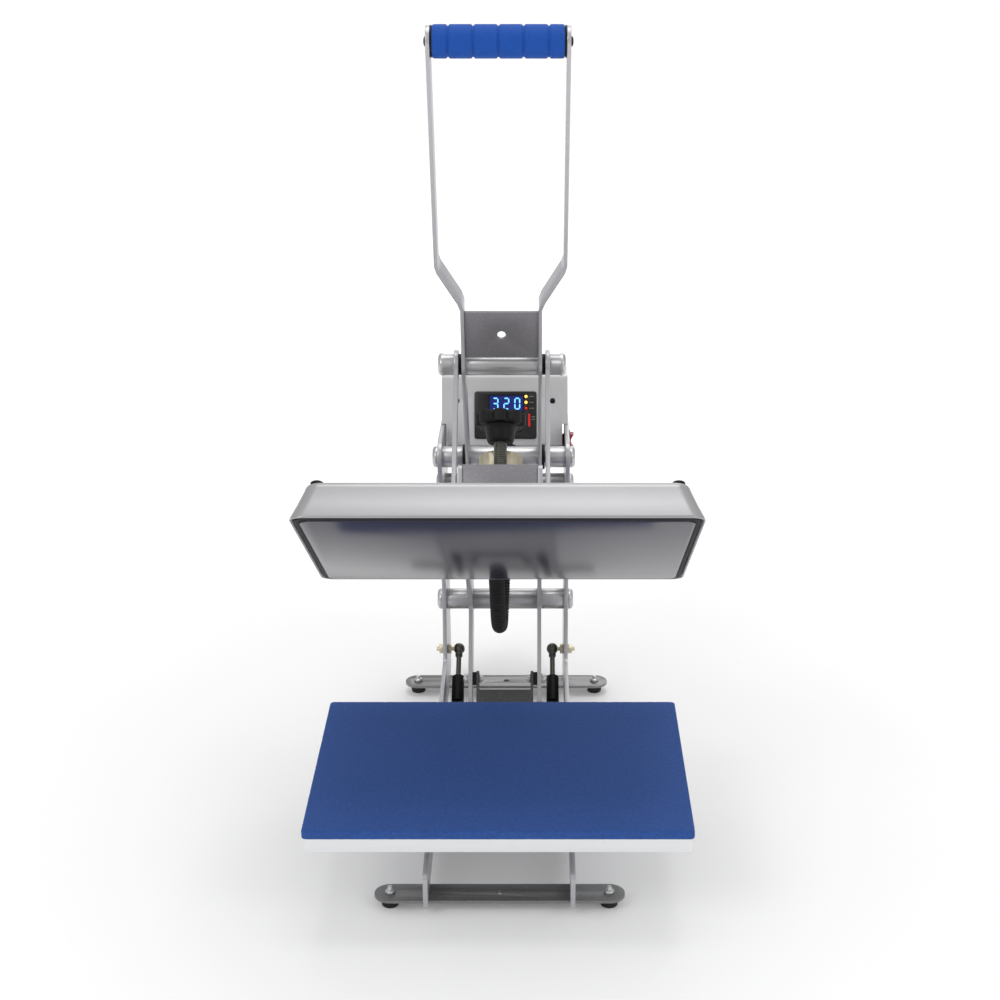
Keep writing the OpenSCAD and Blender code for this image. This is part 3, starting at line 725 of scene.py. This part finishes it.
class PRESS_OT_arm(bpy.types.Operator):
    """Upper arm: its plates, channel, guide bush, bosses and tail"""

    bl_idname = "press.arm"
    bl_label = "Upper arm"

    def execute(self, context):
        edge = context.scene.press_sizes.edge_break / MM
        for node in ("arm_plate_left", "arm_plate_right"):
            softened(node, silver_coat, edge)
        softened("arm_channel", hammered_coat, edge)
        softened("guide_bush", yellow_zinc, 0.4)
        softened("link_bosses", turned_steel, 0.3)
        softened("tail_bracket", dark_coat, 0.4)
        softened("tail_spacers", black_rubber, 0.5)
        softened("tail_bolts", zinc_plate, 0.3)
        return {"FINISHED"}


class PRESS_OT_upper_platen(bpy.types.Operator):
    """Heated plate, its seal, the cover and what stands on it"""

    bl_idname = "press.upper_platen"
    bl_label = "Upper platen"

    def execute(self, context):
        softened("heat_plate", heated_coat, 0.8, 3)
        softened("rim_seal", black_rubber, 0.4)
        painted("insulation_blanket", glass_cloth)
        painted("pressure_plate", dark_coat)
        softened("guide_stud", zinc_plate, 0.6)
        softened("cover_screws", black_plastic, 0.3)
        softened("cable_gland", black_plastic, 0.5)
        shell = made("cover_painted", self.cover)
        piece("cover_painted", shell, cover_coat, "platen", ("cover_shell",), 60.0)
        return {"FINISHED"}

    def cover(self, bm):
        """Pressed cover with sloping sides, rounded top edge and a turned-in rim."""
        low, high = closed_box("cover_shell")
        centre = (low + high) / 2
        width, depth = high.x - low.x, high.y - low.y
        slope = 12.5 * MM
        radius = bpy.context.scene.press_sizes.cover_round
        top = high.z - radius
        lean = math.radians(18)
        rows = [(3.4 * MM, low.z + 5 * MM, 11 * MM), (2 * MM, low.z + 0.6 * MM, 13 * MM),
                (0.6 * MM, low.z, 14.5 * MM), (0, low.z + 0.7 * MM, 15 * MM),
                (0.6 * MM, low.z + 3 * MM, 15 * MM), (slope / 2, (low.z + top) / 2, 14.5 * MM)]
        for i in range(9):
            angle = lean + (math.pi / 2 - lean) * i / 8
            rise = (math.sin(angle) - math.sin(lean)) / (1 - math.sin(lean))
            rows.append((slope + radius * (math.cos(lean) - math.cos(angle)), top + radius * rise,
                         (14 - 3 * i / 8) * MM))
        rows.append((slope + radius + 8 * MM, high.z, 10 * MM))
        steps = 12
        rings = []
        for inset, z, corner in rows:
            loop = rounded_loop(width - 2 * inset, depth - 2 * inset, corner, centre, z, steps)
            rings.append([OPENED @ point for point in loop])
        loft(bm, rings, ends=False)
        bm.verts.ensure_lookup_table()
        bm.faces.new(bm.verts[-4 * (steps + 1):])


def closed_box(node):
    """A node's lowest and highest corners with the press shut."""
    back = OPENED.inverted()
    points = [back @ v.co for v in frame["nodes"][node].data.vertices]
    low = Vector([min(p[i] for p in points) for i in range(3)])
    high = Vector([max(p[i] for p in points) for i in range(3)])
    return low, high


def opened_point(axis, radius, angle, z):
    """A point round a vertical axis of the shut press, carried to the open pose."""
    return OPENED @ Vector((axis.x + radius * math.cos(angle), axis.y + radius * math.sin(angle), z))


class PRESS_OT_pressure_knob(bpy.types.Operator):
    """Lobed pressure knob and its threaded screw"""

    bl_idname = "press.pressure_knob"
    bl_label = "Pressure knob"

    def execute(self, context):
        piece("knob_lobed", made("knob_lobed", self.knob), black_plastic, "knob",
              ("adjusting_knob",), 40.0)
        piece("screw_threaded", made("screw_threaded", self.screw), oiled_steel, "knob",
              ("adjusting_screw",), 60.0)
        return {"FINISHED"}

    def knob(self, bm):
        """Hub, eight round lobes and a dished top, as rows of radius, height and share of the lobes."""
        low, high = closed_box("adjusting_knob")
        screw = closed_box("adjusting_screw")
        axis = (screw[0] + screw[1]) / 2
        reach = (high.x - low.x) / 2
        rows = [(7.4, 0, 0), (12.4, 0, 0), (13.2, 0.7, 0), (14.2, 3, 0), (15.4, 10, 0), (16.2, 15.4, 0),
                (17.6, 17.3, 0.1), (21, 17.5, 0.7), (23.4, 17.9, 1), (24.3, 19, 1), (24.6, 21.5, 1),
                (24.6, 27, 1), (24.2, 29.3, 1), (22.8, 30.6, 1), (19.5, 31.2, 0.55), (16, 31.6, 0.1),
                (14.6, 32.4, 0), (12, 32.5, 0), (11.2, 31.6, 0), (4, 31.3, 0)]
        rings = []
        for radius, height, lobe in rows:
            ring = []
            for angle in turns(128):
                swell = 1 - ((1 - math.cos(8 * angle)) / 2) ** 2.2
                r = min((radius + lobe * (4.9 * swell - 2.0)) * MM, reach)
                ring.append(opened_point(axis, r, angle, low.z + height * MM))
            rings.append(ring)
        loft(bm, rings)

    def screw(self, bm):
        """A right-hand thread with rounded crests."""
        low, high = closed_box("adjusting_screw")
        axis = (low + high) / 2
        pitch = bpy.context.scene.press_sizes.thread_pitch
        outer = (high.x - low.x) / 2
        depth = 0.62 * MM
        around = turns(32)
        count = int((high.z - low.z - 2 * MM) / (pitch / 8))
        rings = [[opened_point(axis, outer - 2 * depth, angle, low.z) for angle in around]]
        for i in range(count + 1):
            z = low.z + MM + i * pitch / 8
            ring = []
            for angle in around:
                crest = 0.5 + 0.5 * math.cos(math.tau * (z - low.z) / pitch - angle)
                ring.append(opened_point(axis, outer - depth * (1 - crest ** 0.7), angle, z))
            rings.append(ring)
        rings.append([opened_point(axis, outer - 2 * depth, angle, high.z) for angle in around])
        loft(bm, rings)


class PRESS_OT_handle(bpy.types.Operator):
    """Handle bars, cross plate, foam grip and its screws"""

    bl_idname = "press.handle"
    bl_label = "Handle"

    def execute(self, context):
        edge = context.scene.press_sizes.edge_break / MM
        for node in ("handle_bar_left", "handle_bar_right"):
            softened(node, silver_coat, edge)
        softened("handle_cross_plate", hammered_coat, 0.7, 3)
        softened("link_plates", silver_coat, edge)
        painted("grip_tube", zinc_plate)
        softened("grip_screws", black_plastic, 0.3)
        grip = piece("grip_foam", made("grip_foam", self.grip), blue_foam, "handle",
                     ("foam_grip",), 60.0)
        return {"FINISHED"}

    def grip(self, bm):
        """Foam tube with grooves round it and soft ends."""
        sizes = bpy.context.scene.press_sizes
        low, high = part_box("foam_grip")
        centre = (low + high) / 2
        half = (high.x - low.x) / 2
        radius = (high.z - low.z) / 2
        inner = 9.5 * MM
        profile = [(inner, -half + 0.4 * MM), (radius - 2.4 * MM, -half),
                   (radius - 0.8 * MM, -half + 0.5 * MM), (radius - 0.1 * MM, -half + 2.2 * MM)]
        for i in range(-2, 3):
            x = i * sizes.groove_pitch
            for dx, share in ((-3.0, 0.0), (-1.7, 0.12), (-1.1, 0.55), (-0.5, 0.95), (0.0, 1.0), (0.5, 0.95),
                              (1.1, 0.55), (1.7, 0.12), (3.0, 0.0)):
                profile.append((radius - share * sizes.groove_depth, x + dx * MM))
        profile += [(r, -x) for r, x in reversed(profile[:4])]
        turned(bm, profile, centre, (1, 0, 0), (0, 0, 1), 72)


class PRESS_OT_struts(bpy.types.Operator):
    """Gas struts, their ball studs and their eyes"""

    bl_idname = "press.struts"
    bl_label = "Gas struts"

    def execute(self, context):
        softened("strut_rods", oiled_steel, 0.3)
        softened("strut_cylinders", black_plastic, 0.9, 3)
        softened("strut_studs_upper", yellow_zinc, 0.25)
        softened("strut_studs_lower", yellow_zinc, 0.25)
        return {"FINISHED"}


LAMP_PITCH = 7 * MM


class PRESS_OT_controller(bpy.types.Operator):
    """Temperature controller: housing, panel, lit digits, lamps, keys and power switch"""

    bl_idname = "press.controller"
    bl_label = "Controller"

    def execute(self, context):
        softened("box_shell", housing_coat, 1.1, 4)
        softened("box_back_cover", housing_coat, 0.4)
        softened("box_screws", black_plastic, 0.15)
        softened("display_panel", panel_film, 0.35)
        painted("display_window", lit_window)
        painted("display_digits", lit_digit)
        softened("power_inlet", black_plastic, 0.5)
        softened("rocker_switch", red_plastic, 0.6, 3)
        painted("control_board", solder_mask)
        for node in ("key_down", "key_set", "key_up"):
            softened(node, black_plastic, 0.35)
        self.lamps()
        self.details()
        return {"FINISHED"}

    def lamps(self):
        """Two amber lamps over a red one."""
        up, out = self.face_up(), self.face_out()
        centre = middle("status_leds")
        profile = [(r * MM, h * MM) for r, h in ((1.7, 0), (1.7, 2.3), (1.55, 3), (1.1, 3.5), (0.5, 3.75))]
        lamps = (("upper", lit_amber), ("middle", lit_amber), ("lower", lit_red))
        for index, (name, maker) in enumerate(lamps):
            origin = centre + up * (1 - index) * LAMP_PITCH - out * 1.2 * MM
            mesh = made("lamp", lambda bm: turned(bm, profile, origin, out, (1, 0, 0), 24))
            replaced = ("status_leds",) if index == 0 else ()
            piece("lamp_" + name, mesh, maker, "base", replaced)

    def face_up(self):
        """Direction up the sloping face."""
        axis = JOINTS["set_press"]["axis"]
        return Vector((0, -axis[2], axis[1]))

    def face_out(self):
        return -Vector(JOINTS["set_press"]["axis"])

    def slab(self, bm, origin, width, height, lift):
        """A small raised block on the face, width along X."""
        up, out = self.face_up(), self.face_out()
        rings = []
        for depth, inset in ((0.0, 0.0), (lift * 0.7, 0.0), (lift, 0.15 * MM)):
            w, h = width / 2 - inset, height / 2 - inset
            corners = ((-w, -h), (w, -h), (w, h), (-w, h))
            rings.append([origin + Vector((x, 0, 0)) + up * y + out * depth for x, y in corners])
        loft(bm, rings)

    def details(self):
        """Printed ticks, the red bar, the switch frame, vents and inlet pins."""
        up, out = self.face_up(), self.face_out()
        panel = middle("display_panel") + out * 0.8 * MM
        lamp = middle("status_leds")

        def ticks(bm):
            for index in range(3):
                spot = lamp + Vector((6.6 * MM, 0, 0)) + up * (1 - index) * LAMP_PITCH
                self.slab(bm, self.on_panel(spot, panel), 5.2 * MM, 0.9 * MM, 0.12 * MM)
            for row in range(2):
                spot = panel + Vector((33 * MM, 0, 0)) - up * (2 + 3 * row) * MM
                self.slab(bm, self.on_panel(spot, panel), 4.4 * MM, 0.9 * MM, 0.12 * MM)

        def bar(bm):
            spot = panel + Vector((28.2 * MM, 0, 0)) - up * 6 * MM
            self.slab(bm, self.on_panel(spot, panel), 2.2 * MM, 15 * MM, 0.5 * MM)

        def frame_of_window(bm):
            centre = middle("display_window") + out * 0.5 * MM
            for side in (1, -1):
                self.slab(bm, centre + up * side * 10.1 * MM, 42 * MM, 1 * MM, 0.6 * MM)
            for side in (-1, 1):
                self.slab(bm, centre + Vector((side * 20.6 * MM, 0, 0)), 1 * MM, 20.4 * MM, 0.6 * MM)

        for name, build, maker, slot in (
                ("panel_ticks", ticks, pale_mark, "black_plastic"),
                ("panel_red_bar", bar, lit_red, "red_plastic"),
                ("window_frame", frame_of_window, black_plastic, "black_plastic"),
                ("switch_frame", self.switch_frame, black_plastic, "black_plastic"),
                ("back_vents", self.vents, black_plastic, "black_plastic"),
                ("inlet_pins", self.pins, zinc_plate, "zinc_steel"),
                ("box_gland", self.gland, black_plastic, "black_plastic")):
            piece(name, made(name, build), maker, "base")

    def on_panel(self, point, panel):
        out = self.face_out()
        return point - out * (point - panel).dot(out)

    def switch_frame(self, bm):
        """The rocker's snap-in frame on the side plate."""
        low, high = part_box("rocker_switch")
        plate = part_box("side_plate_right")[1].x
        y, z = (low.y + high.y) / 2, (low.z + high.z) / 2
        w, h = 6.6 * MM, 9.6 * MM
        rim = 0.7 * MM
        for dy, dz in ((-1, 0), (1, 0), (0, -1), (0, 1)):
            cy = y + dy * (w + rim)
            cz = z + dz * (h + rim)
            hy = rim if dy else w
            hz = rim if dz else h + 2 * rim
            rings = []
            for x, inset in ((plate + 0.02 * MM, 0.0), (plate + 1.5 * MM, 0.0), (plate + 1.9 * MM, 0.3 * MM)):
                corners = ((-hy + inset, -hz + inset), (hy - inset, -hz + inset), (hy - inset, hz - inset),
                           (-hy + inset, hz - inset))
                rings.append([Vector((x, cy + a, cz + b)) for a, b in corners])
            loft(bm, rings)

    def vents(self, bm):
        """Louvres on the back cover, in two columns of five."""
        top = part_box("box_back_cover")[1]
        for row in range(5):
            for x in (-30, 30):
                start = Vector((x * MM, top.y + 0.55 * MM, top.z - (12 + 5.2 * row) * MM))
                rings = []
                for along, scale in ((-18, 0.55), (-17.4, 1), (17.4, 1), (18, 0.55)):
                    high, out = 1.4 * scale, 0.55 * scale
                    rings.append([start + Vector((along, out * math.sin(angle), high * math.cos(angle))) * MM
                                  for angle in turns(10)])
                loft(bm, rings)

    def pins(self, bm):
        """Three flat pins in the power inlet."""
        low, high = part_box("power_inlet")
        centre = (low + high) / 2
        for x, z in ((-6, 1.5), (0, -2.5), (6, 1.5)):
            rings = []
            for y, inset in ((high.y - 15 * MM, 0.0), (high.y - 5.5 * MM, 0.0), (high.y - 4.6 * MM, 0.35)):
                w, h = (1.0 - inset) * MM, (2.0 - inset) * MM
                rings.append([Vector((centre.x + x * MM + a, y, centre.z + z * MM + b))
                              for a, b in ((-w, -h), (w, -h), (w, h), (-w, h))])
            loft(bm, rings)

    def gland(self, bm):
        """Nut and collar where the conduit enters the housing."""
        end = CONDUIT_LINE[-1]
        direction = (end - CONDUIT_LINE[-5]).normalized()
        profile = [(9.3, -13), (10.6, -12.6), (11.4, -11.4), (11.4, -8.4), (12.8, -8.2), (13.2, -7.6),
                   (13.2, -3.4), (9.3, -3.2)]
        turned(bm, [(r * MM, h * MM) for r, h in profile], end, direction, (1, 0, 0), 32)


# The conduit's route with the press open: y and z of points from the platen to the controller.
CONDUIT_POINTS = [(31.6, 260.7), (45, 251), (54, 242), (62, 224), (66, 198), (72, 176), (84, 163),
                  (100, 163), (112, 180), (118, 207), (125, 229), (136, 251), (151, 270), (168, 286),
                  (186, 299), (204, 310), (219, 319), (236, 329)]


def smooth_line(points, steps):
    """A smooth curve through points, with steps pieces between each pair."""
    line = []
    for i in range(len(points) - 1):
        p0, p1 = points[max(i - 1, 0)], points[i]
        p2, p3 = points[i + 1], points[min(i + 2, len(points) - 1)]
        for k in range(steps):
            t = k / steps
            line.append(0.5 * (2 * p1 + (p2 - p0) * t + (2 * p0 - 5 * p1 + 4 * p2 - p3) * t ** 2
                               + (3 * p1 - p0 - 3 * p2 + p3) * t ** 3))
    return line + [points[-1]]


# Its x at the platen, and how far it moves to the right on its way.
CONDUIT_X = -8 * MM
CONDUIT_SHIFT = 12 * MM
CONDUIT_STEP = math.pi / (len(CONDUIT_POINTS) - 1)
CONDUIT_LINE = smooth_line(
    [Vector((CONDUIT_X + CONDUIT_SHIFT * (1 - math.cos(CONDUIT_STEP * i)) / 2, y * MM, z * MM))
     for i, (y, z) in enumerate(CONDUIT_POINTS)], 12)


class PRESS_OT_conduit(bpy.types.Operator):
    """Corrugated conduit from the controller to the heated platen"""

    bl_idname = "press.conduit"
    bl_label = "Conduit"

    def execute(self, context):
        mesh = made("conduit_corrugated", self.tube)
        thing = piece("conduit_corrugated", mesh, black_rubber, None,
                      ("heater_conduit",), 60.0)
        length = sum((b - a).length for a, b in zip(CONDUIT_LINE, CONDUIT_LINE[1:]))
        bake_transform(thing)
        return {"FINISHED"}

    def tube(self, bm):
        """Rounded ribs along the route."""
        pitch = bpy.context.scene.press_sizes.rib_pitch
        line = CONDUIT_LINE
        lengths = [0.0]
        for a, b in zip(line, line[1:]):
            lengths.append(lengths[-1] + (b - a).length)
        total = lengths[-1]
        count = int(total / (pitch / 6))
        rings = []
        spot = 0
        for i in range(count + 1):
            s = total * i / count
            while spot < len(line) - 2 and lengths[spot + 1] < s:
                spot += 1
            share = (s - lengths[spot]) / (lengths[spot + 1] - lengths[spot])
            place = line[spot].lerp(line[spot + 1], share)
            forward = (line[min(spot + 2, len(line) - 1)] - line[max(spot - 1, 0)]).normalized()
            side = Vector((1, 0, 0))
            up = forward.cross(side).normalized()
            wave = 0.5 + 0.5 * math.cos(math.tau * s / pitch)
            radius = (8.95 - 1.3 * (1 - wave ** 0.6)) * MM
            rings.append([place + side * (radius * math.cos(a)) + up * (radius * math.sin(a))
                          for a in turns(24)])
        loft(bm, rings)


class PRESS_OT_stage(bpy.types.Operator):
    """White floor, soft lights and the camera"""

    bl_idname = "press.stage"
    bl_label = "Stage"

    def execute(self, context):
        self.floor()
        self.lights()
        self.camera()
        return {"FINISHED"}

    def floor(self):
        reach = 16.0
        corners = ((-reach, -reach, 0), (reach, -reach, 0), (reach, reach, 0), (-reach, reach, 0))
        mesh = made("studio_floor", lambda bm: bm.faces.new([bm.verts.new(corner) for corner in corners]))
        mesh.materials.append(finish(studio_white))
        floor = bpy.data.objects.new("studio_floor", mesh)
        bpy.context.scene.collection.objects.link(floor)

    def lights(self):
        world = bpy.data.worlds.new("studio_world")
        bpy.context.scene.world = world
        world.use_nodes = True
        tree = world.node_tree
        background = tree.nodes["Background"]
        place = tree.nodes.new("ShaderNodeTexCoord")
        split = tree.nodes.new("ShaderNodeSeparateXYZ")
        ramp = tree.nodes.new("ShaderNodeValToRGB")
        tree.links.new(place.outputs["Generated"], split.inputs[0])
        tree.links.new(split.outputs["Z"], ramp.inputs[0])
        tree.links.new(ramp.outputs[0], background.inputs["Color"])
        below, above = ramp.color_ramp.elements
        below.position, below.color = 0.0, (0.5, 0.5, 0.51, 1)
        above.position, above.color = 0.5, (1, 1, 1, 1)
        background.inputs["Strength"].default_value = 0.62
        for name, spot, aim, size, power in (
                ("key_light", (-1.7, -1.9, 2.3), (0, 0, 0.35), 1.3, 16.0),
                ("fill_light", (1.9, -1.6, 1.7), (0, 0, 0.3), 1.2, 9.0),
                ("top_light", (0.1, 0.5, 2.9), (0, 0, 0.2), 1.6, 22.0),
                ("rim_light", (0.3, 2.4, 1.5), (0, 0, 0.4), 1.4, 8.0)):
            lamp = bpy.data.lights.new(name, "AREA")
            lamp.energy = power
            lamp.size = size
            thing = bpy.data.objects.new(name, lamp)
            thing.location = spot
            thing.rotation_euler = (Vector(aim) - Vector(spot)).to_track_quat("-Z", "Y").to_euler()
            bpy.context.scene.collection.objects.link(thing)

    def camera(self):
        lens = bpy.data.cameras.new("front_camera")
        lens.lens = 66.17
        lens.sensor_width = 36.0
        lens.shift_x = -0.0334
        lens.clip_start = 0.05
        camera = bpy.data.objects.new("front_camera", lens)
        camera.location = (0.0342, -1.854, 1.0323)
        camera.rotation_euler = (math.radians(90 - 20.25), 0, 0)
        bpy.context.scene.collection.objects.link(camera)
        bpy.context.scene.camera = camera
        bpy.context.scene.view_settings.view_transform = "Standard"


class PRESS_PT_panel(bpy.types.Panel):
    """Lists the press's pieces and settings"""

    bl_idname = "PRESS_PT_panel"
    bl_label = "Heat press"
    bl_space_type = "VIEW_3D"
    bl_region_type = "UI"
    bl_category = "Heat press"

    def draw(self, context):
        for group in (context.scene.press_finish, context.scene.press_sizes):
            for key in group.__annotations__:
                self.layout.prop(group, key)
        for operator in STEPS:
            self.layout.operator(operator.bl_idname)


STEPS = (PRESS_OT_stage, PRESS_OT_conduit, PRESS_OT_base_frame, PRESS_OT_lower_platen, PRESS_OT_pivots,
         PRESS_OT_arm, PRESS_OT_upper_platen, PRESS_OT_pressure_knob, PRESS_OT_handle, PRESS_OT_struts,
         PRESS_OT_controller)
CLASSES = (PressFinish, PressSizes, *STEPS, PRESS_PT_panel)


def register():
    for cls in CLASSES:
        bpy.utils.register_class(cls)
    bpy.types.Scene.press_finish = bpy.props.PointerProperty(type=PressFinish)
    bpy.types.Scene.press_sizes = bpy.props.PointerProperty(type=PressSizes)


def unregister():
    del bpy.types.Scene.press_sizes
    del bpy.types.Scene.press_finish
    for cls in reversed(CLASSES):
        bpy.utils.unregister_class(cls)


def main():
    register()
    for operator in STEPS:
        getattr(bpy.ops.press, operator.bl_idname.split(".")[1])()


if __name__ == "__main__":
    main()
